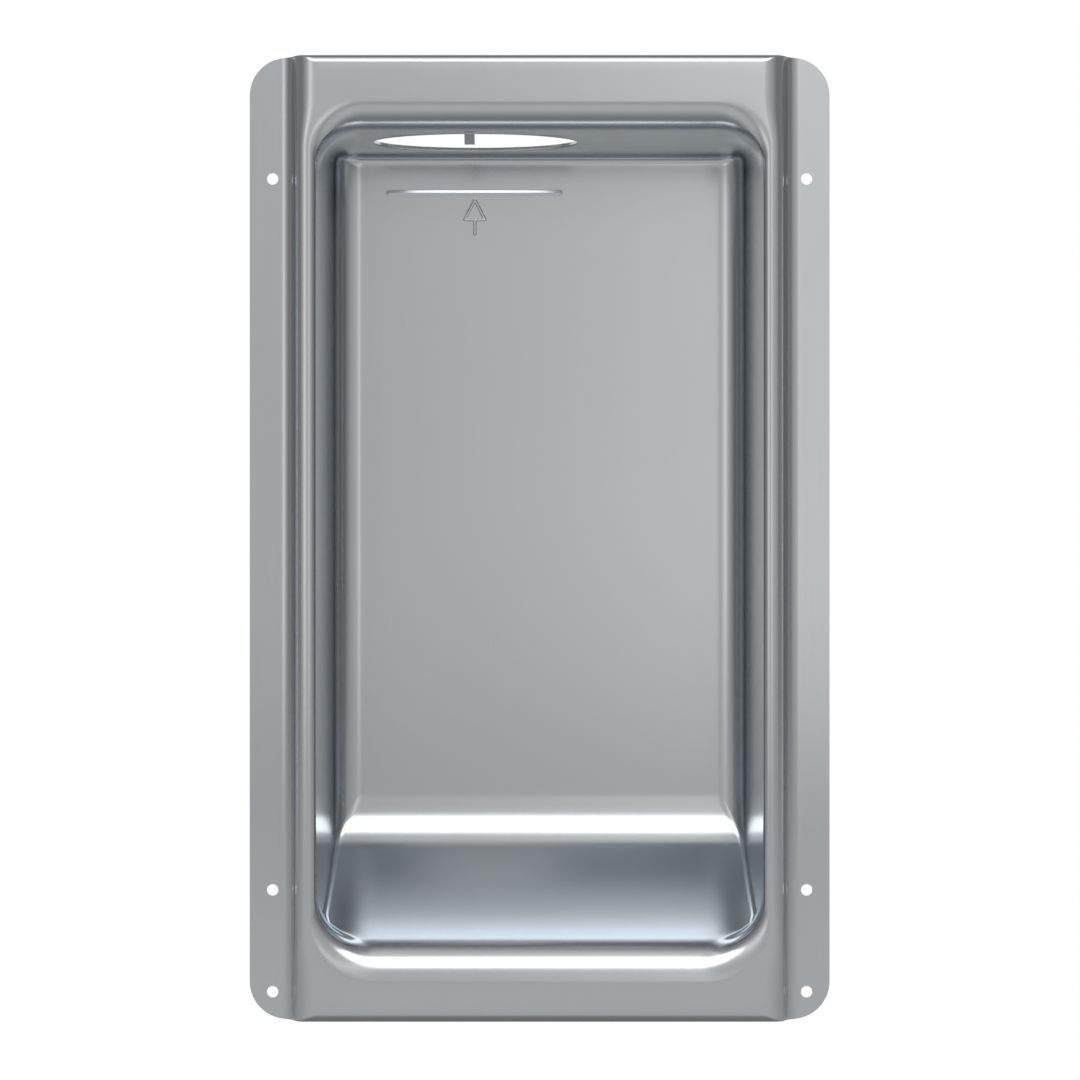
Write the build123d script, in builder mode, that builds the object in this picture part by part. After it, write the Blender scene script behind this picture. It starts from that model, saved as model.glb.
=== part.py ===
"""Recessed wall box for a dryer's exhaust duct, drawn from one sheet of coated steel.

X runs across the wall, +Z is up and the open front faces -Y. The flanges lie on the studs
in the plane Y = 0, and the origin is the middle of the four outer screw holes.
"""

import os
from math import cos, pi, radians, sin, sqrt, tan

from build123d import *

os.makedirs("parts", exist_ok=True)

# Sheet and overall size
sheet = 0.8
overall_width = 323.8
overall_height = 536.6
overall_depth = 100.0
cut_margin = 2.0

# Step from the flanges out to the face, which ends flush with the wallboard
board_thickness = 12.7
flange_flat = 17.2
flange_corner = 21.0
foot_bend = 8.8
crest_bend = 8.0
step_angle = 75.0
edge_bend = 4.5

# Screw holes in the flanges, measured from the box's edges
hole_diameter = 6.4
hole_from_side = 12.8
top_hole_from_top = 67.6
low_hole_from_bottom = 15.1
mid_hole_from_bottom = 72.0

# Mouth of the recess: strips of flat face round it and bends into it
top_strip = 23.7
bottom_strip = 21.3
side_rim = 0.3
top_lip_bend = 17.0
floor_lip_bend = 25.0
side_lip_bend = 4.2
mouth_corner = 28.0

# Walls of the recess
side_draft = 2.5
top_draft = 1.1
side_back_bend = 15.0
top_back_bend = 15.5
back_corner = 3.0

# Floor: a scoop that climbs from the lower lip to the back wall
floor_lip_angle = 68.0
scoop_angle = 50.0
scoop_bend = 40.0
floor_corner = 5.0
corner_run = 26.0

# Spacing of the recess's sections: degrees round a bend, and spans along the walls
bend_step = 9
wall_spans = 5

# Oval duct port in the top wall, with a low collar and a bent tab
port_width = 117.0
port_from_side = 91.2
port_front_margin = 7.4
port_back_margin = 1.3
collar_height = 2.4
tab_width = 5.8
tab_length = 7.4
tab_shift = -2.6
tab_angle = 45.0

# Raised line on the back wall that marks where the duct ends
bead_length = 104.7
bead_width = 3.4
bead_height = 1.0
bead_taper = 30.0
bead_shift = -1.6
bead_from_top = 63.8

# Places that follow from the sizes above
outer_hole_span = overall_height - top_hole_from_top - low_hole_from_bottom
top_edge = outer_hole_span / 2 + top_hole_from_top
bottom_edge = top_edge - overall_height
mid_height = (top_edge + bottom_edge) / 2
face = -(board_thickness + sheet)
back_depth = overall_depth - sheet
foot_half = overall_width / 2 - flange_flat
step_bends = foot_bend + crest_bend
step_run = (board_thickness - step_bends * (1 - cos(radians(step_angle)))) / sin(radians(step_angle))
crest_half = foot_half - step_bends * sin(radians(step_angle)) - step_run * cos(radians(step_angle))
mouth_half = crest_half - side_rim
mouth_top = top_edge - top_strip
mouth_bottom = bottom_edge + bottom_strip
hole_half = overall_width / 2 - hole_from_side
port_front = top_lip_bend + port_front_margin
port_depth = back_depth - top_back_bend - port_back_margin - port_front
port_from_face = port_front + port_depth / 2
port_offset = port_from_side - mouth_half
tab_root = port_front - sheet / 2
bead_level = top_edge - bead_from_top


def frame_form(inset, rear):
    """Solid behind the stepped face, with its skin set back into the sheet by inset."""
    with BuildPart() as form:
        with BuildSketch(Plane.XY.offset(bottom_edge)):
            with BuildLine():
                front = Line((0, face + inset), (crest_half, face + inset))
                crest = JernArc(front @ 1, front % 1, crest_bend - inset, step_angle)
                slope = Line(crest @ 1, crest @ 1 + crest % 1 * step_run)
                foot = JernArc(slope @ 1, slope % 1, foot_bend + inset, -step_angle)
                outer = overall_width / 2 + inset
                Polyline(foot @ 1, (outer, inset - sheet), (outer, rear), (0, rear), front @ 0)
            make_face()
            mirror(about=Plane.YZ)
        extrude(amount=overall_height)
        with BuildSketch(Plane.YZ) as side_view:
            with Locations(((face + inset + rear) / 2, mid_height)):
                Rectangle(rear - face - inset, overall_height - 2 * inset)
            fillet(side_view.vertices().group_by(Axis.X)[0], edge_bend - inset)
        extrude(amount=overall_width, both=True, mode=Mode.INTERSECT)
    return form.part


def wall_reach(depth, inset, mouth, lip_bend, draft, back_bend):
    """Reach of a drafted wall at a depth: lip bend, straight wall, then bend into the back."""
    slant = radians(draft)
    lip_radius = lip_bend - inset
    back_radius = back_bend + inset
    lip_end = lip_bend - lip_radius * sin(slant)
    back_centre = back_depth - back_bend
    back_start = back_centre + back_radius * sin(slant)
    wall_at_lip = mouth - lip_radius * cos(slant)
    if depth <= lip_end:
        return mouth - sqrt(max(lip_radius**2 - (lip_bend - depth) ** 2, 0))
    if depth <= back_start:
        return wall_at_lip - (depth - lip_end) * tan(slant)
    wall_at_back = wall_at_lip - (back_start - lip_end) * tan(slant)
    bend_centre = wall_at_back - back_radius * cos(slant)
    return bend_centre + sqrt(max(back_radius**2 - (depth - back_centre) ** 2, 0))


def side_reach(depth, inset):
    """Half the recess's width at a depth."""
    return wall_reach(depth, inset, mouth_half, side_lip_bend, side_draft, side_back_bend)


def top_level(depth, inset):
    """Height of the recess's top wall at a depth."""
    return wall_reach(depth, inset, mouth_top, top_lip_bend, top_draft, top_back_bend)


def floor_level(depth, inset):
    """Height of the floor at a depth: lower lip, long hollow floor, then scoop to the back."""
    lip_tilt = radians(floor_lip_angle)
    scoop_tilt = radians(scoop_angle)
    lip_depth = floor_lip_bend * (1 - cos(lip_tilt))
    scoop_depth = scoop_bend * (1 - cos(scoop_tilt))
    floor_bend = (back_depth - lip_depth - scoop_depth) / (cos(scoop_tilt) - cos(lip_tilt))
    lip_radius = floor_lip_bend - inset
    if depth <= floor_lip_bend - lip_radius * cos(lip_tilt):
        return mouth_bottom + sqrt(max(lip_radius**2 - (floor_lip_bend - depth) ** 2, 0))
    floor_centre_depth = lip_depth - floor_bend * cos(lip_tilt)
    floor_centre_level = mouth_bottom + (floor_lip_bend + floor_bend) * sin(lip_tilt)
    floor_radius = floor_bend + inset
    if depth <= floor_centre_depth + floor_radius * cos(scoop_tilt):
        return floor_centre_level - sqrt(floor_radius**2 - (depth - floor_centre_depth) ** 2)
    scoop_centre_depth = back_depth - scoop_bend
    scoop_centre_level = floor_centre_level - (floor_bend - scoop_bend) * sin(scoop_tilt)
    scoop_radius = scoop_bend + inset
    return scoop_centre_level - sqrt(max(scoop_radius**2 - (depth - scoop_centre_depth) ** 2, 0))


def recess_form(inset):
    """Space inside the recess, with its skin set back into the sheet by inset."""
    lip_radius = top_lip_bend - inset
    back_radius = side_back_bend + inset
    wall_end = back_depth - side_back_bend
    wall_span = (wall_end - top_lip_bend) / wall_spans
    bend = [radians(turn) for turn in range(0, 90, bend_step)]
    depths = [top_lip_bend - lip_radius * cos(turn) for turn in bend]
    depths += [top_lip_bend + wall_span * span for span in range(wall_spans + 1)]
    depths += [wall_end + back_radius * cos(turn) for turn in reversed(bend)]
    with BuildPart() as form:
        for depth in depths:
            half = side_reach(depth, inset)
            top = top_level(depth, inset)
            bottom = floor_level(depth, inset)
            fade = min(depth / corner_run, 1)
            top_corner = mouth_corner + (back_corner - mouth_corner) * depth / (back_depth + inset)
            low_corner = floor_corner + (mouth_corner - floor_corner) * (1 + cos(pi * fade)) / 2
            with BuildSketch(Plane.XZ.offset(-face - depth)) as section:
                with Locations((0, (top + bottom) / 2)):
                    Rectangle(2 * half, top - bottom)
                fillet(section.vertices().group_by(Axis.Y)[-1], top_corner + inset)
                fillet(section.vertices().group_by(Axis.Y)[0], low_corner + inset)
        loft(ruled=True)
    return form.part


# Planes in the middle of the top wall at the port, and on the front of the back wall
port_plane = Plane(
    origin=(port_offset, face + port_from_face, top_level(port_from_face, sheet / 2)),
    x_dir=(1, 0, 0),
    z_dir=(0, sin(radians(top_draft)), cos(radians(top_draft))),
)
back_plane = Plane.XZ.offset(-face - back_depth)

with BuildPart() as vent_box:
    # Stepped frame: front skin less rear skin, with the flanges' corners rounded
    add(frame_form(0, 0))
    add(frame_form(sheet, cut_margin), mode=Mode.SUBTRACT)
    with BuildSketch(Plane.XZ) as outline:
        with Locations((0, mid_height)):
            RectangleRounded(overall_width, overall_height, flange_corner)
    extrude(amount=cut_margin - face, both=True, mode=Mode.INTERSECT)

    # Drawn recess behind the mouth
    add(recess_form(sheet))
    add(recess_form(0), mode=Mode.SUBTRACT)

    # Screw holes: four outer ones and one more in each flange above the lower pair
    with Locations(Plane.XZ):
        with GridLocations(2 * hole_half, outer_hole_span, 2, 2):
            Hole(hole_diameter / 2)
        with GridLocations(2 * hole_half, 0, 2, 1):
            with Locations((0, bottom_edge + mid_hole_from_bottom)):
                Hole(hole_diameter / 2)

    # Collar turned up round the duct port
    with BuildSketch(port_plane):
        Ellipse(port_width / 2 + sheet, port_depth / 2 + sheet)
    extrude(amount=collar_height - sheet / 2)
    with BuildSketch(port_plane):
        Ellipse(port_width / 2, port_depth / 2)
    extrude(amount=collar_height + cut_margin, both=True, mode=Mode.SUBTRACT)

    # Tab bent down from the port's front edge
    with BuildSketch(Plane.YZ.offset(port_offset + tab_shift)):
        with Locations(Location((face + tab_root, top_level(tab_root, sheet / 2)), -tab_angle)):
            Rectangle(tab_length, sheet, align=(Align.MIN, Align.CENTER))
    extrude(amount=tab_width / 2, both=True)

    # Pressed line on the back wall, hollow behind
    with BuildSketch(back_plane):
        with Locations((port_offset + bead_shift, bead_level)):
            SlotOverall(bead_length, bead_width)
    extrude(amount=bead_height, taper=bead_taper)
    with BuildSketch(back_plane.offset(-sheet)):
        with Locations((port_offset + bead_shift, bead_level)):
            SlotOverall(bead_length - sheet, bead_width - sheet)
    extrude(amount=bead_height, taper=bead_taper, mode=Mode.SUBTRACT)

vent_box.part.label = "vent_box"
export_step(vent_box.part, "parts/vent_box.step")
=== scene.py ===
"""Dresses the dryer vent box: one drawn steel sheet in a plain studio, seen straight from the front.

The sheet's front skin is worked out in millimetres as grids of points, given its thickness, and put
into the mesh in metres. X runs across the wall, +Z is up and the open front faces -Y.
"""

import logging
from collections.abc import Sequence
from dataclasses import dataclass, field
from enum import Enum
from math import atan, cos, pi, radians, sin, tan

import bmesh
import bpy
import numpy as np
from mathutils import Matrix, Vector


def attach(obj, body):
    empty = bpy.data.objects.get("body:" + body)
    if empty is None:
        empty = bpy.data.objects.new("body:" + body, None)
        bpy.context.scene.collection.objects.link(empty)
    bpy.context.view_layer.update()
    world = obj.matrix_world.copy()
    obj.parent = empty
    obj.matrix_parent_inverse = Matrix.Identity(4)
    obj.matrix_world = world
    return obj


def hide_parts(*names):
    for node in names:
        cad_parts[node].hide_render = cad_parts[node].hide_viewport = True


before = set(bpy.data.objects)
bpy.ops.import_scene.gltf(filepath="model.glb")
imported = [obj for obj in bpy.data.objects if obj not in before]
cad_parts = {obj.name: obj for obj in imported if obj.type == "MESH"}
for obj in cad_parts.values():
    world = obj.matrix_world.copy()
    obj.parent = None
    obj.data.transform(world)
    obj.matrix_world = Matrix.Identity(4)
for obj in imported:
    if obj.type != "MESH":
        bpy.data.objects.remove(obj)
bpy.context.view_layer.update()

log = logging.getLogger("vent_box")

MM = 0.001

# Kinds of values, for the hints
Colour = tuple[float, float, float]
Point = tuple[float, float, float]
Place = tuple[float, float]
Block = tuple[slice, slice]
Pair = tuple[np.ndarray, np.ndarray]
Stops = tuple[tuple[float, float], ...]
Feeds = dict[str | int, object]


class Side(Enum):
    """Left or right half of the frame, as the sign of X."""

    LEFT = -1
    RIGHT = 1


class End(Enum):
    """Lower or upper end of the frame, as the sign of Z."""

    BOTTOM = -1
    TOP = 1


def smooth_step(value: np.ndarray) -> np.ndarray:
    """Blend that leaves 0 and reaches 1 without a kink: t squared times (3 - 2t), held to 0 and 1."""
    share = np.clip(value, 0.0, 1.0)
    return share * share * (3.0 - 2.0 * share)


def run(start: float, end: float, spans: int) -> np.ndarray:
    """Evenly spaced values from start to end, spans + 1 of them."""
    return np.linspace(start, end, spans + 1)


def join_runs(*runs: np.ndarray) -> np.ndarray:
    """Runs that share their ends, as one array with each shared end kept once."""
    return np.concatenate([runs[0]] + [part[1:] for part in runs[1:]])


def to_points(x: np.ndarray, y: np.ndarray | float, z: np.ndarray) -> np.ndarray:
    """Points from their coordinates, spread to one shape, with X, Y and Z in the last axis."""
    return np.stack(np.broadcast_arrays(x, y, z), axis=-1)


def arc_height(radius: float, offset: np.ndarray) -> np.ndarray:
    """Height of a circle over its middle line at each offset from its centre, 0 beyond the circle."""
    return np.sqrt(np.maximum(radius**2 - offset**2, 0.0))


def distance_to_line(x: np.ndarray, z: np.ndarray, start: Place, end: Place) -> np.ndarray:
    """Distance of points from a straight stroke.

    The point is projected on the stroke, the foot is held between the two ends, and the distance to
    that foot is returned.

    Args:
        x: Points' X, in mm.
        z: Points' Z, in mm.
        start: The stroke's first end.
        end: The stroke's other end.

    Returns:
        Distances in mm, in the points' shape.
    """
    run_x = end[0] - start[0]
    run_z = end[1] - start[1]
    along = ((x - start[0]) * run_x + (z - start[1]) * run_z) / (run_x**2 + run_z**2)
    along = np.clip(along, 0.0, 1.0)
    return np.hypot(x - start[0] - along * run_x, z - start[1] - along * run_z)


def angles_between(angle: np.ndarray, split: int) -> np.ndarray:
    """Directions round a closed loop, with even steps put in between each one and the next.

    Args:
        angle: Directions of the loop's points from a centre inside it, in radians.
        split: Steps from each direction to the next.

    Returns:
        The directions, split times as many.
    """
    smooth = np.unwrap(angle)
    whole_turn = np.sign(smooth[-1] - smooth[0]) * 2.0 * pi
    gaps = np.diff(np.append(smooth, smooth[0] + whole_turn))
    share = np.arange(split) / split
    return (smooth[:, None] + gaps[:, None] * share).reshape(-1)


def border(grid: np.ndarray) -> np.ndarray:
    """A grid's edge in order: first row, last column, last row back, first column back."""
    return np.concatenate([grid[0, :-1], grid[:-1, -1], grid[-1, :0:-1], grid[:0:-1, 0]])


def new_object(name: str, data: bpy.types.ID) -> bpy.types.Object:
    """A new object in the scene that shows the data."""
    thing = bpy.data.objects.new(name, data)
    bpy.context.scene.collection.objects.link(thing)
    return thing


def feed(tree: bpy.types.NodeTree, node: bpy.types.Node, feeds: Feeds) -> None:
    """Fills a node's inputs.

    Args:
        tree: The node's tree.
        node: The node.
        feeds: By the input's name or number, the output that it takes or its plain value.
    """
    for label, source in feeds.items():
        if isinstance(source, bpy.types.NodeSocket):
            tree.links.new(source, node.inputs[label])
        else:
            node.inputs[label].default_value = source


def add_node(
    tree: bpy.types.NodeTree, kind: str, feeds: Feeds | None = None, **options: object
) -> bpy.types.NodeOutputs:
    """Adds a shader node with its options set and its inputs filled.

    Args:
        tree: The node's tree.
        kind: The shader node's type, such as Math.
        feeds: Its inputs, as feed takes them.
        options: Its settings, such as its operation.

    Returns:
        The node's outputs.
    """
    node = tree.nodes.new(f"ShaderNode{kind}")
    for label, value in options.items():
        setattr(node, label, value)
    feed(tree, node, feeds or {})
    return node.outputs


@dataclass
class Patchwork:
    """Grids of points that are collected into one mesh.

    Seen from the front, a grid's rows go down and its columns to the right, so its faces point outwards.
    """

    weld: float = 0.002
    points: list[np.ndarray] = field(default_factory=list)
    quads: list[np.ndarray] = field(default_factory=list)
    triangles: list[np.ndarray] = field(default_factory=list)
    count: int = 0

    def add_points(self, places: np.ndarray) -> np.ndarray:
        """Adds points and numbers them.

        Args:
            places: Points in mm, with X, Y and Z in the last axis.

        Returns:
            The points' numbers, in the shape of the other axes.
        """
        numbers = self.count + np.arange(places[..., 0].size).reshape(places.shape[:-1])
        self.points.append(places.reshape(-1, 3))
        self.count += numbers.size
        return numbers

    def add_grid(self, numbers: np.ndarray, blocks: Sequence[Block] = (), closed: bool = False) -> None:
        """Adds the cells of a grid as quads: each joins a point to its next in the row and column.

        Args:
            numbers: The points' numbers, row by row.
            blocks: Rows and columns of points whose cells stay open.
            closed: Whether the last column joins the first.
        """
        wide = np.concatenate([numbers, numbers[:, :1]], axis=1) if closed else numbers
        cells = np.stack([wide[:-1, :-1], wide[1:, :-1], wide[1:, 1:], wide[:-1, 1:]], axis=-1)
        kept = np.ones(cells.shape[:2], bool)
        for rows, columns in blocks:
            kept[rows.start : rows.stop - 1, columns.start : columns.stop - 1] = False
        self.quads.append(cells[kept])

    def add_fan(self, coarse: np.ndarray, fine: np.ndarray) -> None:
        """Fills the strip between a coarse closed loop and a finer one inside it.

        Each coarse edge faces the same number of fine edges. The first half of them hang on the
        edge's first point, the rest on its second, and one triangle stands on the coarse edge.

        Args:
            coarse: Numbers round the outer loop.
            fine: Numbers round the inner loop, a whole multiple of the outer's count.
        """
        split = fine.size // coarse.size
        half = split // 2
        first = coarse[:, None]
        second = np.roll(coarse, -1)[:, None]
        inner = fine.reshape(-1, split)
        inner_next = np.roll(fine, -1).reshape(-1, split)
        apex = np.where(np.arange(split) < half, first, second)
        self.triangles.append(np.stack([apex, inner, inner_next], axis=-1).reshape(-1, 3))
        stand = np.stack([first[:, 0], inner[:, half], second[:, 0]], axis=-1)
        self.triangles.append(stand)

    def to_mesh(self, name: str) -> bpy.types.Mesh:
        """Puts the points and faces into a mesh, in metres, with the seams between grids closed.

        Args:
            name: The mesh's name.

        Returns:
            The new mesh.
        """
        quads = np.concatenate(self.quads)
        triangles = np.concatenate(self.triangles)
        used, order = np.unique(np.concatenate([quads.ravel(), triangles.ravel()]), return_inverse=True)
        places = np.concatenate(self.points)[used] * MM
        faces = order[: quads.size].reshape(-1, 4).tolist() + order[quads.size :].reshape(-1, 3).tolist()
        mesh = bpy.data.meshes.new(name)
        mesh.from_pydata(places.tolist(), [], faces)
        shape = bmesh.new()
        shape.from_mesh(mesh)
        bmesh.ops.remove_doubles(shape, verts=shape.verts, dist=self.weld * MM)
        bmesh.ops.dissolve_degenerate(shape, edges=shape.edges, dist=self.weld * MM)
        shape.to_mesh(mesh)
        shape.free()
        return mesh


@dataclass(frozen=True)
class Wall:
    """A wall of the recess in section: a lip bend, a straight drafted wall and a bend into the back."""

    mouth: float
    lip_bend: float
    draft: float
    back_bend: float

    def reach(self, depth: np.ndarray, back: float) -> np.ndarray:
        """Reach of the wall's skin at each depth behind the face.

        The lip is a quarter circle that starts flat in the face, the wall leaves it on a straight
        line turned in by the draft, and another quarter circle turns it into the back wall.

        Args:
            depth: Depths behind the face, in mm.
            back: Depth of the back wall.

        Returns:
            Distances from the axis, in mm.
        """
        slant = radians(self.draft)
        lip_end = self.lip_bend * (1.0 - sin(slant))
        centre = back - self.back_bend
        bend_start = centre + self.back_bend * sin(slant)
        lip_reach = self.mouth - self.lip_bend * cos(slant)
        bend_reach = lip_reach - (bend_start - lip_end) * tan(slant) - self.back_bend * cos(slant)
        lip = self.mouth - arc_height(self.lip_bend, self.lip_bend - depth)
        straight = lip_reach - (depth - lip_end) * tan(slant)
        bend = bend_reach + arc_height(self.back_bend, depth - centre)
        return np.select([depth <= lip_end, depth <= bend_start], [lip, straight], bend)


@dataclass(frozen=True)
class Floor:
    """The recess's floor in section: a lip bend, a long hollow and a scoop that rises to the back."""

    mouth: float
    lip_bend: float = 25.0
    lip_angle: float = 68.0
    scoop_bend: float = 40.0
    scoop_angle: float = 50.0

    def level(self, depth: np.ndarray, back: float) -> np.ndarray:
        """Height of the floor's skin at each depth, on three circles that run into each other.

        Args:
            depth: Depths behind the face, in mm.
            back: Depth of the back wall.

        Returns:
            Heights in mm.
        """
        lip_tilt = radians(self.lip_angle)
        scoop_tilt = radians(self.scoop_angle)
        lip_depth = self.lip_bend * (1.0 - cos(lip_tilt))
        scoop_depth = self.scoop_bend * (1.0 - cos(scoop_tilt))
        bend = (back - lip_depth - scoop_depth) / (cos(scoop_tilt) - cos(lip_tilt))
        centre = lip_depth - bend * cos(lip_tilt)
        centre_level = self.mouth + (self.lip_bend + bend) * sin(lip_tilt)
        scoop_centre = back - self.scoop_bend
        scoop_level = centre_level - (bend - self.scoop_bend) * sin(scoop_tilt)
        lip = self.mouth + arc_height(self.lip_bend, self.lip_bend - depth)
        hollow = centre_level - arc_height(bend, depth - centre)
        scoop = scoop_level - arc_height(self.scoop_bend, depth - scoop_centre)
        scoop_start = centre + bend * cos(scoop_tilt)
        return np.select([depth <= lip_depth, depth <= scoop_start], [lip, hollow], scoop)


@dataclass(frozen=True)
class Loop:
    """Columns round the recess, clockwise from its upper left corner, shared by every row of the skin.

    Each column has a place across (-1 to 1), a place up (0 to 1) and a direction out of its corner.
    A corner's middle column is where a rectangle round the recess has its own corner.
    """

    top_spans: int = 44
    side_spans: int = 30
    half_corner: int = 10

    def across(self) -> np.ndarray:
        """Place across of each column: -1 at the left corners' centres, 1 at the right ones."""
        corner = np.ones(self.half_corner)
        side = np.ones(self.side_spans + self.half_corner)
        top = run(-1.0, 1.0, self.top_spans)[:-1]
        half = np.concatenate([-corner, top, corner, side, corner])
        return np.concatenate([half, -half])

    def up(self) -> np.ndarray:
        """Place up of each column: 0 at the lower corners' centres, 1 at the upper ones."""
        upper = np.ones(self.top_spans + 3 * self.half_corner)
        side = run(1.0, 0.0, self.side_spans)[:-1]
        half = np.concatenate([upper, side, np.zeros(self.half_corner)])
        return np.concatenate([half, 1.0 - half])

    def turn(self) -> np.ndarray:
        """Direction out of the corner's centre, in radians from +X."""
        arc = pi / 4
        into_top = run(3 * arc, 2 * arc, self.half_corner)[:-1]
        out_of_top = run(2 * arc, 0.0, 2 * self.half_corner)[:-1]
        into_low = run(0.0, -arc, self.half_corner)[:-1]
        half = np.concatenate(
            [into_top, np.full(self.top_spans, 2 * arc), out_of_top, np.zeros(self.side_spans), into_low]
        )
        return np.concatenate([half, half - pi])

    def rounded(self, half_width: np.ndarray, top: np.ndarray, low: np.ndarray, corner: Pair) -> Pair:
        """Rounded rectangles, one a row.

        X is the place across times the corner centre's X plus the radius times the direction's
        cosine; Z runs between the corner centres by the place up, plus the radius times the sine.

        Args:
            half_width: Half widths, one a row.
            top: Upper levels.
            low: Lower levels.
            corner: Radii of the upper and the lower corners.

        Returns:
            X and Z of the points, rows by columns.
        """
        up = self.up()[None, :]
        radius = (1.0 - up) * corner[1][:, None] + up * corner[0][:, None]
        x = self.across() * (half_width[:, None] - radius) + radius * np.cos(self.turn())
        low_centre = (low + corner[1])[:, None]
        top_centre = (top - corner[0])[:, None]
        z = (1.0 - up) * low_centre + up * top_centre + radius * np.sin(self.turn())
        return x, z


@dataclass(frozen=True)
class SheetFinish:
    """Satin steel sheet with a metallic coat: fine rolled grain and slow clouds of tone."""

    name: str = "coated_steel_sheet"
    colour: Colour = (0.585, 0.625, 0.66)
    pale_colour: Colour = (0.615, 0.65, 0.687)
    roughness: float = 0.2
    roughness_spread: float = 0.03
    grain_scale: float = 900.0
    grain_stretch: float = 0.02
    grain_depth: float = 0.000004
    grain_detail: float = 3.0
    cloud_scale: float = 9.0
    cloud_detail: float = 2.0

    def grain_group(self) -> bpy.types.NodeTree:
        """Node group for rolled sheet: long fine lines and slow clouds, from a position.

        Returns:
            The group: Position, Grain Scale, Stretch and Cloud Scale in, Lines and Clouds out.
        """
        group = bpy.data.node_groups.new("rolled_grain", "ShaderNodeTree")
        group.interface.new_socket("Position", in_out="INPUT", socket_type="NodeSocketVector")
        for label in ("Grain Scale", "Stretch", "Cloud Scale"):
            group.interface.new_socket(label, in_out="INPUT", socket_type="NodeSocketFloat")
        for label in ("Lines", "Clouds"):
            group.interface.new_socket(label, in_out="OUTPUT", socket_type="NodeSocketFloat")
        inlet = group.nodes.new("NodeGroupInput").outputs
        place = inlet["Position"]
        squeeze = add_node(group, "CombineXYZ", {"X": 1.0, "Y": 1.0, "Z": inlet["Stretch"]})
        along = add_node(group, "VectorMath", {0: place, 1: squeeze["Vector"]}, operation="MULTIPLY")
        fine = {"Vector": along["Vector"], "Scale": inlet["Grain Scale"], "Detail": self.grain_detail}
        slow = {"Vector": place, "Scale": inlet["Cloud Scale"], "Detail": self.cloud_detail}
        lines = add_node(group, "TexNoise", fine)
        clouds = add_node(group, "TexNoise", slow)
        outlet = group.nodes.new("NodeGroupOutput")
        feed(group, outlet, {"Lines": lines["Fac"], "Clouds": clouds["Fac"]})
        return group

    def material(self) -> bpy.types.Material:
        """Metal whose roughness and fine relief follow the grain, and whose tone follows the clouds.

        Returns:
            The material.
        """
        material = bpy.data.materials.new(self.name)
        material.use_nodes = True
        tree = material.node_tree
        place = add_node(tree, "TexCoord")
        scales = {
            "Position": place["Object"],
            "Grain Scale": self.grain_scale,
            "Stretch": self.grain_stretch,
            "Cloud Scale": self.cloud_scale,
        }
        grain = add_node(tree, "Group", scales, node_tree=self.grain_group())
        tones = {"Factor": grain["Clouds"], "A": (*self.colour, 1.0), "B": (*self.pale_colour, 1.0)}
        tone = add_node(tree, "Mix", tones, data_type="RGBA")
        smoothest = self.roughness - self.roughness_spread
        roughest = self.roughness + self.roughness_spread
        spread = {"Value": grain["Lines"], "To Min": smoothest, "To Max": roughest}
        polish = add_node(tree, "MapRange", spread)
        lines = {"Strength": 1.0, "Distance": self.grain_depth, "Height": grain["Lines"]}
        relief = add_node(tree, "Bump", lines)
        looks = {
            "Metallic": 1.0,
            "Base Color": tone["Result"],
            "Roughness": polish["Result"],
            "Normal": relief["Normal"],
        }
        feed(tree, tree.nodes["Principled BSDF"], looks)
        return material


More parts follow.
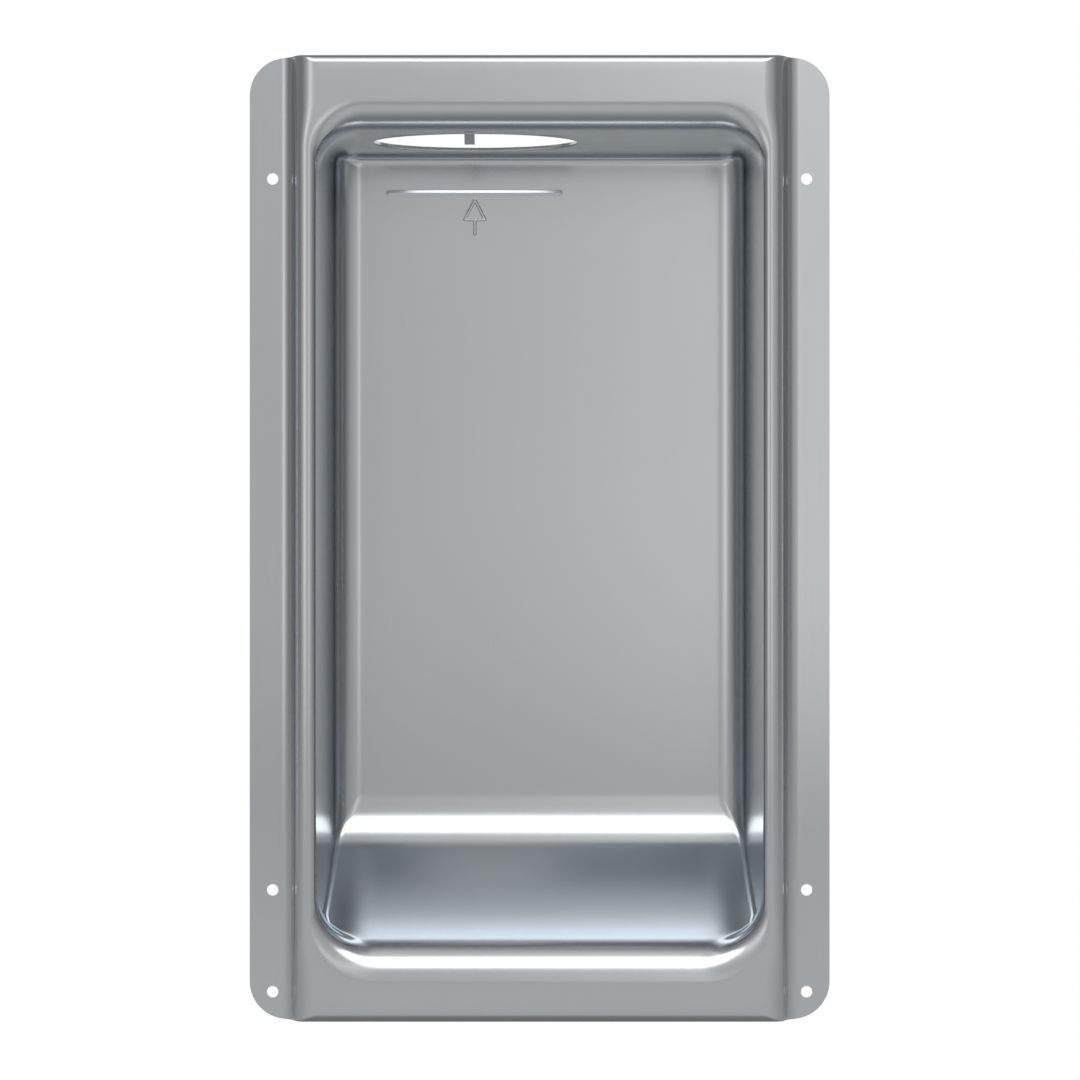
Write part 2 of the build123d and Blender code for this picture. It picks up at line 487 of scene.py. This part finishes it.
@dataclass
class VentBox:
    """The box as one sheet: flanges, stepped frame, drawn recess, duct port, tab and pressed marks.

    Sizes are in millimetres, in the part's own frame, and angles in degrees.
    """

    finish: SheetFinish = field(default_factory=SheetFinish)
    loop: Loop = field(default_factory=Loop)
    work: Patchwork = field(default_factory=Patchwork)

    # Sheet and outline
    sheet: float = 0.8
    half_width: float = 161.9
    top_edge: float = 294.55
    bottom_edge: float = -242.05
    face: float = -13.5
    edge_bend: float = 4.5
    roll_power: int = 4
    flange_corner: float = 21.0
    outline_reach: float = 40.0

    # Step from the flanges to the face, at the strips and beside the recess
    foot_half: float = 144.7
    foot_bend: float = 8.8
    strip_crest_bend: float = 14.7
    strip_angle: float = 60.0
    side_crest_bend: float = 8.0
    side_angle: float = 75.0

    # Mouth and walls of the recess
    mouth_top: float = 270.85
    mouth_bottom: float = -220.75
    mouth_half: float = 128.106
    mouth_corner: float = 28.0
    low_mouth_corner: float = 36.0
    back_depth: float = 99.2
    back_corner: float = 3.0
    floor_corner: float = 3.0
    corner_run: float = 36.0
    top_lip_bend: float = 17.0
    top_draft: float = 1.1
    top_back_bend: float = 5.0
    side_lip_bend: float = 4.2
    side_draft: float = 2.5
    side_back_bend: float = 15.0

    # Screw holes
    hole_radius: float = 3.2
    hole_margin: float = 1.0
    hole_half: float = 149.1
    hole_levels: tuple[float, ...] = (226.95, -170.05, -226.95)

    # Duct port with its collar and tab
    port_x: float = -36.9
    port_depth: float = 53.4
    port_half_width: float = 58.5
    port_half_depth: float = 29.0
    collar_height: float = 2.4
    collar_bend: float = 0.8
    tab_x: float = -39.5
    tab_half: float = 2.9
    tab_length: float = 7.4
    tab_root: float = 24.0
    tab_angle: float = 45.0

    # Pressed line and arrow on the back wall, and the room of their finer grids
    plate_inset: float = 2.0
    mark_gap: float = 0.3
    bead_x: float = -38.5
    bead_z: float = 230.75
    bead_length: float = 104.7
    bead_width: float = 3.4
    bead_height: float = 0.5
    bead_end_room: float = 3.0
    bead_side_room: float = 0.9
    arrow_x: float = -38.3
    arrow_tip: float = 226.6
    arrow_base: float = 214.9
    arrow_half: float = 6.0
    arrow_foot: float = 206.4
    arrow_stroke: float = 2.0
    arrow_slope: float = 0.62
    arrow_height: float = 0.5
    arrow_room: float = 2.0

    # Rows and columns of the grids
    lip_rows: int = 24
    wall_rows: int = 10
    back_rows: int = 24
    ring_rows: int = 3
    bend_columns: int = 14
    flange_columns: int = 12
    edge_rows: int = 10
    return_rows: int = 3
    port_spare: int = 1
    collar_rows: int = 4
    tab_rows: int = 4
    plate_left: int = 3
    plate_top: int = 2
    bead_columns: int = 16
    bead_rows: int = 3
    arrow_columns: int = 7
    arrow_rows: int = 10
    mark_split: int = 8
    hole_split: int = 4

    # Bends between faces above this are drawn as edges
    sharp_angle: float = 40.0

    def build(self) -> bpy.types.Object:
        """Works out every patch of the front skin, gives the sheet its thickness and dresses it.

        Returns:
            The finished box.
        """
        outer_x, outer_z = self.frame_lines()
        skin, numbers = self.add_recess(outer_x, outer_z)
        block = self.port_block()
        self.add_port(numbers[block], skin[block])
        self.add_back_wall(skin[-1])
        for side in Side:
            self.add_step(side, outer_z)
        for end in End:
            self.add_edge(end, outer_x)
        self.add_tab()
        mesh = self.thicken(self.work.to_mesh("front_skin"))
        mesh.materials.append(self.finish.material())
        return new_object("vent_box_sheet", mesh)

    def side_reach(self, depth: np.ndarray) -> np.ndarray:
        """Half the recess's width at each depth."""
        wall = Wall(self.mouth_half, self.side_lip_bend, self.side_draft, self.side_back_bend)
        return wall.reach(depth, self.back_depth)

    def top_level(self, depth: np.ndarray) -> np.ndarray:
        """Height of the recess's top wall at each depth."""
        wall = Wall(self.mouth_top, self.top_lip_bend, self.top_draft, self.top_back_bend)
        return wall.reach(depth, self.back_depth)

    def step_share(self, z: np.ndarray) -> np.ndarray:
        """How far the step has its tight form: 0 beside the strips, 1 past the mouth's corners."""
        above = smooth_step((self.mouth_top - z) / self.mouth_corner)
        below = smooth_step((z - self.mouth_bottom) / self.mouth_corner)
        return above * below

    def step_form(self, z: np.ndarray) -> tuple[np.ndarray, np.ndarray, np.ndarray]:
        """Sizes of the step at each level, blended between its form at the strips and beside the recess.

        Args:
            z: Levels in mm.

        Returns:
            Crest radius, angle in radians, and the crest's X where it leaves the flat face.
        """
        share = self.step_share(z)
        crest_bend = self.strip_crest_bend + (self.side_crest_bend - self.strip_crest_bend) * share
        angle = np.radians(self.strip_angle + (self.side_angle - self.strip_angle) * share)
        bends = crest_bend + self.foot_bend
        rise = -self.sheet - self.face
        slope = (rise - bends * (1.0 - np.cos(angle))) / np.sin(angle)
        crest = self.foot_half - bends * np.sin(angle) - slope * np.cos(angle)
        return crest_bend, angle, crest

    def corner_climb(self, corner: float, reach: float) -> np.ndarray:
        """Climb of the level lines past a mouth corner's centre.

        The lines follow the corner's arc to its middle, and the cube of their share of the way is
        added so that the last one ends at the frame's corner.

        Args:
            corner: The mouth corner's radius.
            reach: Distance from its centre to the frame's corner.

        Returns:
            Distances from the centre, in mm.
        """
        share = run(0.0, 1.0, self.loop.half_corner)
        arc = corner * np.sin(share * pi / 4)
        return arc + (reach - arc[-1]) * share**3

    def frame_lines(self) -> Pair:
        """Lines of the flat face's rectangle that meet the loop's columns.

        Returns:
            X lines at the top and bottom edges, and Z lines at the sides.
        """
        low = self.bottom_edge + self.edge_bend
        high = self.top_edge - self.edge_bend
        inner_x = self.mouth_half - self.mouth_corner
        outer_x = float(self.step_form(np.array([high]))[2][0])
        half = self.loop.half_corner
        middle = run(-inner_x, inner_x, self.loop.top_spans)
        x_lines = join_runs(run(-outer_x, -inner_x, half), middle, run(inner_x, outer_x, half))
        low_bend = self.mouth_bottom + self.low_mouth_corner
        high_bend = self.mouth_top - self.mouth_corner
        fall = low_bend - self.corner_climb(self.low_mouth_corner, low_bend - low)[::-1]
        climb = high_bend + self.corner_climb(self.mouth_corner, high - high_bend)
        z_lines = join_runs(fall, run(low_bend, high_bend, self.loop.side_spans), climb)
        return x_lines, z_lines

    def depth_rows(self) -> np.ndarray:
        """Depths of the recess's rows: even turns round the lip and the back bend, even spans between."""
        lip = self.top_lip_bend * (1.0 - np.cos(run(0.0, pi / 2, self.lip_rows)))
        wall_end = self.back_depth - self.side_back_bend
        wall = run(self.top_lip_bend, wall_end, self.wall_rows)
        back = wall_end + self.side_back_bend * np.sin(run(0.0, pi / 2, self.back_rows))
        return join_runs(lip, wall, back)

    def add_recess(self, outer_x: np.ndarray, outer_z: np.ndarray) -> Pair:
        """Flat face round the mouth and the recess behind it, as rows of one closed grid.

        The first rows go straight from the face's rectangle to the mouth. The rest are rounded
        rectangles at growing depths, as wide, high and rounded as the walls leave them there.

        Args:
            outer_x: X lines of the face's rectangle.
            outer_z: Z lines of the face's rectangle.

        Returns:
            Points of the grid, rows by columns by X, Y and Z, and their numbers.
        """
        depth = self.depth_rows()
        fade = np.clip(depth / self.corner_run, 0.0, 1.0)
        top_corner = self.mouth_corner + (self.back_corner - self.mouth_corner) * depth / self.back_depth
        round_share = (1.0 + np.cos(pi * fade)) / 2.0
        low_corner = self.floor_corner + (self.low_mouth_corner - self.floor_corner) * round_share
        floor = Floor(self.mouth_bottom).level(depth, self.back_depth)
        corners = (top_corner, low_corner)
        x, z = self.loop.rounded(self.side_reach(depth), self.top_level(depth), floor, corners)
        inside = to_points(x, (self.face + depth)[:, None], z)
        edge = border(to_points(outer_x, self.face, outer_z[::-1, None]))
        beside = np.isclose(np.abs(edge[:, 0]), outer_x[-1])
        edge[beside, 0] = np.sign(edge[beside, 0]) * self.step_form(edge[beside, 2])[2]
        share = run(0.0, 1.0, self.ring_rows)[:-1, None, None]
        ring = edge[None] * (1.0 - share) + inside[:1] * share
        places = np.concatenate([ring, inside])
        numbers = self.work.add_points(places)
        self.work.add_grid(numbers, [self.port_block()], closed=True)
        return places, numbers

    def port_block(self) -> Block:
        """Rows and columns of the recess's grid round the port, which the port's own patch fills."""
        first = self.ring_rows + self.lip_rows
        left = self.loop.half_corner
        flat_half = self.mouth_half - self.mouth_corner
        spacing = 2.0 * flat_half / self.loop.top_spans
        reach = int(np.ceil((self.port_x + self.port_half_width + flat_half) / spacing))
        right = left + reach + self.port_spare
        return slice(first, first + self.wall_rows + 1), slice(left, right + 1)

    def add_port(self, numbers: np.ndarray, places: np.ndarray) -> None:
        """Top wall round the port and the collar turned up from it.

        The flat between the block's edge and the oval is a fan. The collar is a quarter circle from
        the wall into the upright, then straight, along an oval that keeps its distance from the port.

        Args:
            numbers: Numbers of the block's points.
            places: The block's points.
        """
        around = border(places)
        middle = self.face + self.port_depth
        across = (around[:, 0] - self.port_x) / self.port_half_width
        back = (around[:, 1] - middle) / self.port_half_depth
        turn = angles_between(np.arctan2(back, across), self.hole_split)
        bend = run(0.0, pi / 2, self.collar_rows)
        out = np.append(self.collar_bend * (1.0 - np.sin(bend)), 0.0)[:, None]
        rise = np.append(self.collar_bend * (1.0 - np.cos(bend)), self.collar_height)[:, None]
        x = self.port_x + (self.port_half_width + out) * np.cos(turn)
        y = middle + (self.port_half_depth + out) * np.sin(turn)
        z = self.top_level(y - self.face) + rise
        collar = self.work.add_points(to_points(x, y, z))
        self.work.add_fan(border(numbers), collar[0])
        self.work.add_grid(collar, closed=True)

    def add_tab(self) -> None:
        """Tab bent down from the port's front edge: a short flat strip, here its lower skin."""
        middle = self.sheet / 2.0
        root_level = self.top_level(np.array(self.tab_root)) + middle
        lean = radians(self.tab_angle)
        along = run(0.0, self.tab_length, self.tab_rows)[:, None]
        x = self.tab_x + np.array([-self.tab_half, self.tab_half])
        y = self.face + self.tab_root + along * cos(lean) - middle * sin(lean)
        z = root_level - along * sin(lean) - middle * cos(lean)
        self.work.add_grid(self.work.add_points(to_points(x, y, z)))

    def plate_x_lines(self, reach: float) -> np.ndarray:
        """Upright lines of the back wall, with the ends of the marks' blocks among them.

        Args:
            reach: The outermost lines' distance from the middle.

        Returns:
            The lines' X, left to right.
        """
        bead_reach = self.bead_length / 2.0 + self.bead_end_room
        arrow_reach = self.arrow_half + self.arrow_room
        bead_left, bead_right = self.bead_x - bead_reach, self.bead_x + bead_reach
        arrow_left, arrow_right = self.arrow_x - arrow_reach, self.arrow_x + arrow_reach
        used = self.plate_left + 2 * self.bead_columns + self.arrow_columns
        return join_runs(
            run(-reach, bead_left, self.plate_left),
            run(bead_left, arrow_left, self.bead_columns),
            run(arrow_left, arrow_right, self.arrow_columns),
            run(arrow_right, bead_right, self.bead_columns),
            run(bead_right, reach, self.loop.top_spans + 2 * self.loop.half_corner - used),
        )

    def plate_z_lines(self, low: float, high: float) -> np.ndarray:
        """Level lines of the back wall, with the ends of the marks' blocks among them.

        Args:
            low: The lowest line.
            high: The highest line.

        Returns:
            The lines' Z, bottom to top.
        """
        bead_reach = self.bead_width / 2.0 + self.bead_side_room
        bead_low, bead_high = self.bead_z - bead_reach, self.bead_z + bead_reach
        arrow_low = self.arrow_foot - self.arrow_room
        used = self.arrow_rows + self.bead_rows + self.plate_top
        return join_runs(
            run(low, arrow_low, self.loop.side_spans + 2 * self.loop.half_corner - used),
            run(arrow_low, bead_low, self.arrow_rows),
            run(bead_low, bead_high, self.bead_rows),
            run(bead_high, high, self.plate_top),
        )

    def mark_blocks(self) -> list[Block]:
        """Rows and columns of the back wall's points round the line and round the arrow."""
        bead_stop = self.plate_top + self.bead_rows
        bead_end = self.plate_left + 2 * self.bead_columns + self.arrow_columns
        arrow_start = self.plate_left + self.bead_columns
        bead = (slice(self.plate_top, bead_stop + 1), slice(self.plate_left, bead_end + 1))
        arrow_rows = slice(bead_stop, bead_stop + self.arrow_rows + 1)
        arrow = (arrow_rows, slice(arrow_start, arrow_start + self.arrow_columns + 1))
        return [bead, arrow]

    def add_back_wall(self, edge: np.ndarray) -> None:
        """Back wall inside the recess's last row, with finer blocks where the marks are pressed.

        Args:
            edge: Points of the recess's last row.
        """
        level = edge[0, 1]
        x_lines = self.plate_x_lines(edge[:, 0].max() - self.plate_inset)
        low, high = edge[:, 2].min(), edge[:, 2].max()
        z_lines = self.plate_z_lines(low + self.plate_inset, high - self.plate_inset)
        places = to_points(x_lines, level, z_lines[::-1, None])
        self.work.add_grid(self.work.add_points(np.stack([edge, border(places)])), closed=True)
        numbers = self.work.add_points(places)
        blocks = self.mark_blocks()
        for block in blocks:
            self.add_mark(numbers[block], places[block])
        self.work.add_grid(numbers, blocks)

    def fine_lines(self, lines: np.ndarray) -> np.ndarray:
        """A block's lines with finer ones between, drawn in a little from the block's edge.

        Args:
            lines: Places of the block's lines.

        Returns:
            Places of the finer lines.
        """
        steps = np.arange(self.mark_split * (lines.size - 1) + 1) / self.mark_split
        fine = np.interp(steps, np.arange(lines.size), lines)
        middle = (fine[0] + fine[-1]) / 2.0
        return middle + (fine - middle) * (1.0 - 2.0 * self.mark_gap / np.ptp(fine))

    def add_mark(self, numbers: np.ndarray, places: np.ndarray) -> None:
        """Finer grid inside a block of the back wall, raised towards the front by the marks' relief.

        Args:
            numbers: The block's points' numbers.
            places: The block's points.
        """
        x, z = np.meshgrid(self.fine_lines(places[0, :, 0]), self.fine_lines(places[:, 0, 2]))
        y = places[0, 0, 1] - self.relief(x, z)
        fine = self.work.add_points(to_points(x, y, z))
        self.work.add_grid(fine)
        self.work.add_fan(border(numbers), border(fine))

    def relief(self, x: np.ndarray, z: np.ndarray) -> np.ndarray:
        """Height of the pressed line and arrow above the back wall.

        The line rises evenly from its edges to a ridge along its middle. The arrow's strokes rise by
        a smooth step from half a stroke's width to their crown.

        Args:
            x: Points' X, in mm.
            z: Points' Z, in mm.

        Returns:
            Heights in mm.
        """
        reach = (self.bead_length - self.bead_width) / 2.0
        start, stop = (self.bead_x - reach, self.bead_z), (self.bead_x + reach, self.bead_z)
        away = distance_to_line(x, z, start, stop)
        bead = self.bead_height * np.clip(1.0 - 2.0 * away / self.bead_width, 0.0, 1.0)
        tip = (self.arrow_x, self.arrow_tip)
        left = (self.arrow_x - self.arrow_half, self.arrow_base)
        right = (self.arrow_x + self.arrow_half, self.arrow_base)
        foot = (self.arrow_x, self.arrow_foot)
        middle = (self.arrow_x, self.arrow_base)
        strokes = ((tip, left), (left, right), (right, tip), (middle, foot))
        nearest = np.minimum.reduce([distance_to_line(x, z, *ends) for ends in strokes])
        arrow = self.arrow_height * smooth_step((self.arrow_stroke / 2.0 - nearest) / self.arrow_slope)
        return np.maximum(bead, arrow)

    def step_columns(self, z: np.ndarray) -> Pair:
        """The step and flange in section at each level: crest arc, foot arc and flat flange.

        Args:
            z: Levels, one a row.

        Returns:
            X and Y of the points, rows by columns, for the right-hand side.
        """
        crest_bend, angle, crest = (value[:, None] for value in self.step_form(z))
        share = run(0.0, 1.0, self.bend_columns)[None, :]
        down = angle * share
        crest_x = crest + crest_bend * np.sin(down)
        crest_y = self.face + crest_bend * (1.0 - np.cos(down))
        level = angle * (1.0 - share)
        foot_x = self.foot_half - self.foot_bend * np.sin(level)
        foot_y = -self.sheet - self.foot_bend * (1.0 - np.cos(level))
        centre = self.half_width - self.flange_corner
        start = np.arcsin((self.foot_half - centre) / self.flange_corner)
        flange = centre + self.flange_corner * np.sin(run(start, pi / 2, self.flange_columns)[1:])
        flange_x = np.broadcast_to(flange, (z.size, flange.size))
        x = np.concatenate([crest_x, foot_x, flange_x], axis=1)
        y = np.concatenate([crest_y, foot_y, np.full(flange_x.shape, -self.sheet)], axis=1)
        return x, y

    def fit_outline(self, x: np.ndarray, z: np.ndarray) -> np.ndarray:
        """Levels drawn in towards the middle, so that the last rows follow the flanges' round corners.

        Within reach of an end, a level keeps its share of the way from the reach's start to the
        outline, which falls from the end by the corner's circle.

        Args:
            x: Points' X for the right-hand side.
            z: Points' levels before.

        Returns:
            The points' levels after.
        """
        reach = self.outline_reach
        centre = self.half_width - self.flange_corner
        past = np.clip(x - centre, 0.0, self.flange_corner)
        fall = self.flange_corner - arc_height(self.flange_corner, past)
        shrink = (reach - fall) / reach
        top = self.top_edge - reach
        low = self.bottom_edge + reach
        z = np.where(z > top, top + (z - top) * shrink, z)
        return np.where(z < low, low + (z - low) * shrink, z)

    def add_step(self, side: Side, levels: np.ndarray) -> None:
        """Step and flange of one side, with the screw holes.

        Args:
            side: Which side.
            levels: Z lines of the face's rectangle.
        """
        x, y = self.step_columns(levels)
        z = self.fit_outline(x, np.broadcast_to(levels[:, None], x.shape))
        places = to_points(side.value * x, y, z)
        if side is Side.RIGHT:
            places = places[::-1]
        numbers = self.work.add_points(places)
        blocks = [self.hole_block(places, level) for level in self.hole_levels]
        for block, level in zip(blocks, self.hole_levels):
            self.add_hole(numbers[block], places[block], (side.value * self.hole_half, level))
        self.work.add_grid(numbers, blocks)

    def hole_block(self, places: np.ndarray, level: float) -> Block:
        """Rows and columns of a flange's points that lie just clear of a hole.

        Args:
            places: Points of the step and flange.
            level: The hole's Z.

        Returns:
            The block's rows and columns.
        """
        clear = self.hole_radius + self.hole_margin
        first = 2 * self.bend_columns + 1
        last = int(np.argmax(np.abs(places[0, :, 0]) > self.hole_half + clear))
        columns = slice(first, last + 1)
        height = places[:, columns, 2] - level
        passed = np.flatnonzero(np.diff(np.sign(height[:, 0])))[0]
        beyond = np.flatnonzero(np.abs(height).min(axis=1) > clear)
        start = int(beyond[beyond <= passed][-1])
        stop = int(beyond[beyond > passed][0])
        return slice(start, stop + 1), columns

    def add_hole(self, numbers: np.ndarray, places: np.ndarray, centre: Place) -> None:
        """Flat of the flange between a block's edge and a round hole.

        Args:
            numbers: The block's points' numbers.
            places: The block's points.
            centre: The hole's X and Z.
        """
        around = border(places)
        angle = np.arctan2(around[:, 2] - centre[1], around[:, 0] - centre[0])
        turn = angles_between(angle, self.hole_split)
        x = centre[0] + self.hole_radius * np.cos(turn)
        z = centre[1] + self.hole_radius * np.sin(turn)
        rim = self.work.add_points(to_points(x, -self.sheet, z))
        self.work.add_fan(border(numbers), rim)

    def add_edge(self, end: End, middle_x: np.ndarray) -> None:
        """Upper or lower edge: the face rolls over a quarter circle and returns to the wall.

        Over the step, the fourth powers of the roll and the step are added and the fourth root is
        taken, so the two run into each other without a crease. The flanges end in a plain cut.

        Args:
            end: Which end.
            middle_x: X lines of the face's rectangle.
        """
        edge = self.top_edge if end is End.TOP else self.bottom_edge
        start = edge - end.value * self.edge_bend
        step_x, step_y = (value[0, 1:] for value in self.step_columns(np.array([start])))
        x = np.concatenate([-step_x[::-1], middle_x, step_x])
        sink = np.concatenate([step_y[::-1], np.full(middle_x.size, self.face), step_y]) - self.face
        turn = run(0.0, pi / 2, self.edge_rows)[:, None]
        roll = self.edge_bend * (1.0 - np.cos(turn))
        flange = np.abs(x) > self.half_width - self.flange_corner
        power = self.roll_power
        rolled = np.where(flange, sink, (sink**power + roll**power) ** (1.0 / power))
        wall = np.where(flange, sink, -self.face)
        share = run(0.0, 1.0, self.return_rows)[1:, None]
        returned = rolled[-1] + (wall - rolled[-1]) * share
        y = self.face + np.concatenate([rolled, returned])
        climb = np.append(np.sin(turn), np.ones(self.return_rows))[:, None]
        z = self.fit_outline(np.abs(x), start + end.value * self.edge_bend * climb)
        places = to_points(x, y, z)
        if end is End.TOP:
            places = places[::-1]
        self.work.add_grid(self.work.add_points(places))

    def thicken(self, mesh: bpy.types.Mesh) -> bpy.types.Mesh:
        """Gives the front skin the sheet's thickness behind it and keeps its cut edges sharp.

        Args:
            mesh: The front skin.

        Returns:
            The closed sheet.
        """
        skin = new_object("front_skin", mesh)
        wall = skin.modifiers.new("sheet", "SOLIDIFY")
        wall.thickness = self.sheet * MM
        wall.offset = -1.0
        wall.use_even_offset = False
        graph = bpy.context.evaluated_depsgraph_get()
        closed = bpy.data.meshes.new_from_object(skin.evaluated_get(graph))
        bpy.data.objects.remove(skin)
        closed.name = "vent_box_sheet"
        closed.shade_smooth()
        closed.set_sharp_from_angle(angle=radians(self.sharp_angle))
        return closed


@dataclass
class Studio:
    """Pale floor with painted shade close under the box, white backdrop, soft light and the camera in
    front.

    Lengths are in metres and angles in degrees.
    """

    camera_place: Point = (0.0002, -1.4395, 0.02535)
    half_view_tangent: float = 0.2096
    floor_level: float = -0.42
    floor_reach: float = 4.0
    floor_roughness: float = 0.9
    floor_colour: Colour = (0.93, 0.93, 0.92)
    # Painted shade: the floor's colour close under the box, and the radii over which it fades to the pale
    # colour
    painted_shade_colour: Colour = (0.45, 0.45, 0.45)
    painted_shade_radius: float = 0.15
    painted_shade_end: float = 0.85
    backdrop_y: float = 0.6
    backdrop_half: float = 2.5
    backdrop_top: float = 0.5
    softbox_rise: float = 43.0
    softbox_distance: float = 2.0
    softbox_size: tuple[float, float] = (2.4, 1.1)
    softbox_radiance: float = 1.8
    softbox_colour: Colour = (0.97, 0.985, 1.0)
    air_tint: Colour = (1.015, 1.0, 0.982)
    tone_across: Stops = (
        (-180, 0.30), (-100, 0.28), (-70, 0.25), (-48, 0.50), (-30, 1.05),
        (-14, 0.64), (-6, 0.56), (0, 0.66), (4, 0.88), (8, 1.02),
        (16, 0.62), (40, 0.50), (70, 0.25), (100, 0.28), (180, 0.30),
    )
    tone_up: Stops = ((-90, 0.3), (-40, 0.6), (-10, 1.0), (12, 0.9), (40, 1.0), (72, 0.98), (90, 0.4))

    def build(self) -> None:
        """Sets up the camera, the stage and the light."""
        self.add_camera()
        self.add_floor()
        self.add_backdrop()
        self.add_softbox()
        self.add_world()
        bpy.context.scene.view_settings.view_transform = "Standard"

    def add_camera(self) -> None:
        """Camera straight in front of the box, with its view square to the wall."""
        lens = bpy.data.cameras.new("camera")
        lens.angle = 2.0 * atan(self.half_view_tangent)
        camera = new_object("camera", lens)
        camera.location = self.camera_place
        camera.rotation_euler = (pi / 2, 0.0, 0.0)
        bpy.context.scene.camera = camera

    def add_plane(self, name: str, corners: list[Point], material: bpy.types.Material) -> None:
        """A stage plane from its corners.

        Args:
            name: The object's name.
            corners: Four corners in metres, in order.
            material: Its material.
        """
        mesh = bpy.data.meshes.new(name)
        mesh.from_pydata(corners, [], [(0, 1, 2, 3)])
        mesh.materials.append(material)
        plane = new_object(name, mesh)

    def add_floor(self) -> None:
        """Pale floor with painted shade: its colour darkens softly into a painted shadow pool close under
        the box.
        """
        material = bpy.data.materials.new("pale_floor")
        material.use_nodes = True
        tree = material.node_tree
        place = add_node(tree, "TexCoord")
        flat = {0: place["Object"], 1: (1.0, 1.0, 0.0)}
        level = add_node(tree, "VectorMath", flat, operation="MULTIPLY")
        away = add_node(tree, "VectorMath", {0: level["Vector"]}, operation="LENGTH")
        ends = {"Value": away["Value"], "From Min": self.painted_shade_radius, "From Max": self.painted_shade_end}
        fade = add_node(tree, "MapRange", ends, interpolation_type="SMOOTHSTEP")
        tones = {"Factor": fade["Result"], "A": (*self.painted_shade_colour, 1.0), "B": (*self.floor_colour, 1.0)}
        tone = add_node(tree, "Mix", tones, data_type="RGBA")
        looks = {"Base Color": tone["Result"], "Roughness": self.floor_roughness}
        feed(tree, tree.nodes["Principled BSDF"], looks)
        reach, low = self.floor_reach, self.floor_level
        corners = [(-reach, -reach, low), (reach, -reach, low), (reach, reach, low), (-reach, reach, low)]
        self.add_plane("floor", corners, material)

    def add_backdrop(self) -> None:
        """White wall behind the box, seen only from its front."""
        material = bpy.data.materials.new("white_backdrop")
        material.use_nodes = True
        tree = material.node_tree
        tree.nodes.clear()
        path = add_node(tree, "LightPath")
        shown = path["Is Camera Ray"]
        for kind in ("Is Glossy Ray", "Is Transmission Ray"):
            shown = add_node(tree, "Math", {0: shown, 1: path[kind]}, operation="MAXIMUM")["Value"]
        glow = add_node(tree, "Emission", {"Strength": shown})
        clear = add_node(tree, "BsdfTransparent")
        rear = add_node(tree, "NewGeometry")
        sides = {"Fac": rear["Backfacing"], 1: glow["Emission"], 2: clear["BSDF"]}
        mix = add_node(tree, "MixShader", sides)
        add_node(tree, "OutputMaterial", {"Surface": mix["Shader"]})
        half, y = self.backdrop_half, self.backdrop_y
        low, high = self.floor_level, self.backdrop_top
        corners = [(-half, y, low), (half, y, low), (half, y, high), (-half, y, high)]
        self.add_plane("backdrop", corners, material)

    def add_softbox(self) -> None:
        """Large soft lamp in front of and above the box."""
        lamp = bpy.data.lights.new("softbox", "AREA")
        lamp.shape = "RECTANGLE"
        lamp.size, lamp.size_y = self.softbox_size
        lamp.energy = self.softbox_radiance * pi * self.softbox_size[0] * self.softbox_size[1]
        lamp.color = self.softbox_colour
        box = new_object("softbox", lamp)
        rise = radians(self.softbox_rise)
        aim = Vector((0.0, 0.0, self.camera_place[2]))
        away = Vector((0.0, -cos(rise), sin(rise)))
        box.location = aim + away * self.softbox_distance
        box.rotation_euler = away.to_track_quat("Z", "Y").to_euler()
        box.visible_camera = False

    def add_tone(
        self, tree: bpy.types.NodeTree, turn: bpy.types.NodeSocket, stops: Stops
    ) -> bpy.types.NodeSocket:
        """Tone by an angle, from a colour ramp with all its stops in the air's tint.

        Args:
            tree: The world's node tree.
            turn: Output that gives the angle, in radians.
            stops: Pairs of an angle in degrees and a tone; the first angle is the last one's opposite.

        Returns:
            The ramp's colour.
        """
        reach = stops[-1][0]
        ends = {"Value": turn, "From Min": -radians(reach), "From Max": radians(reach)}
        way = add_node(tree, "MapRange", ends)
        node = tree.nodes.new("ShaderNodeValToRGB")
        feed(tree, node, {"Fac": way["Result"]})
        ramp = node.color_ramp
        ramp.interpolation = "EASE"
        for angle, _ in stops[1:-1]:
            ramp.elements.new((angle + reach) / (2.0 * reach))
        for element, (_, tone) in zip(ramp.elements, stops):
            element.color = (*(tone * share for share in self.air_tint), 1.0)
        return node.outputs["Color"]

    def add_world(self) -> None:
        """Soft studio round the box: a tone by direction across times a tone by height."""
        world = bpy.data.worlds.new("studio")
        bpy.context.scene.world = world
        world.use_nodes = True
        tree = world.node_tree
        place = add_node(tree, "TexCoord")
        parts = add_node(tree, "SeparateXYZ", {"Vector": place["Generated"]})
        forward = add_node(tree, "Math", {0: parts["Y"], 1: -1.0}, operation="MULTIPLY")
        swing = add_node(tree, "Math", {0: parts["X"], 1: forward["Value"]}, operation="ARCTAN2")
        climb = add_node(tree, "Math", {0: parts["Z"]}, operation="ARCSINE")
        across = self.add_tone(tree, swing["Value"], self.tone_across)
        height = self.add_tone(tree, climb["Value"], self.tone_up)
        tones = {"Factor": 1.0, "A": across, "B": height}
        both = add_node(tree, "Mix", tones, data_type="RGBA", blend_type="MULTIPLY")
        feed(tree, tree.nodes["Background"], {"Color": both["Result"]})


def main() -> None:
    """Builds the box and its studio and reports each piece."""
    logging.basicConfig(level=logging.INFO, format="%(name)s: %(message)s")
    Studio().build()
    log.info("studio: floor, backdrop, softbox, world and camera")
    box = VentBox().build()
    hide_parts("vent_box")
    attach(box, "root")
    log.info("%s: %d faces", box.name, len(box.data.polygons))


if __name__ == "__main__":
    main()
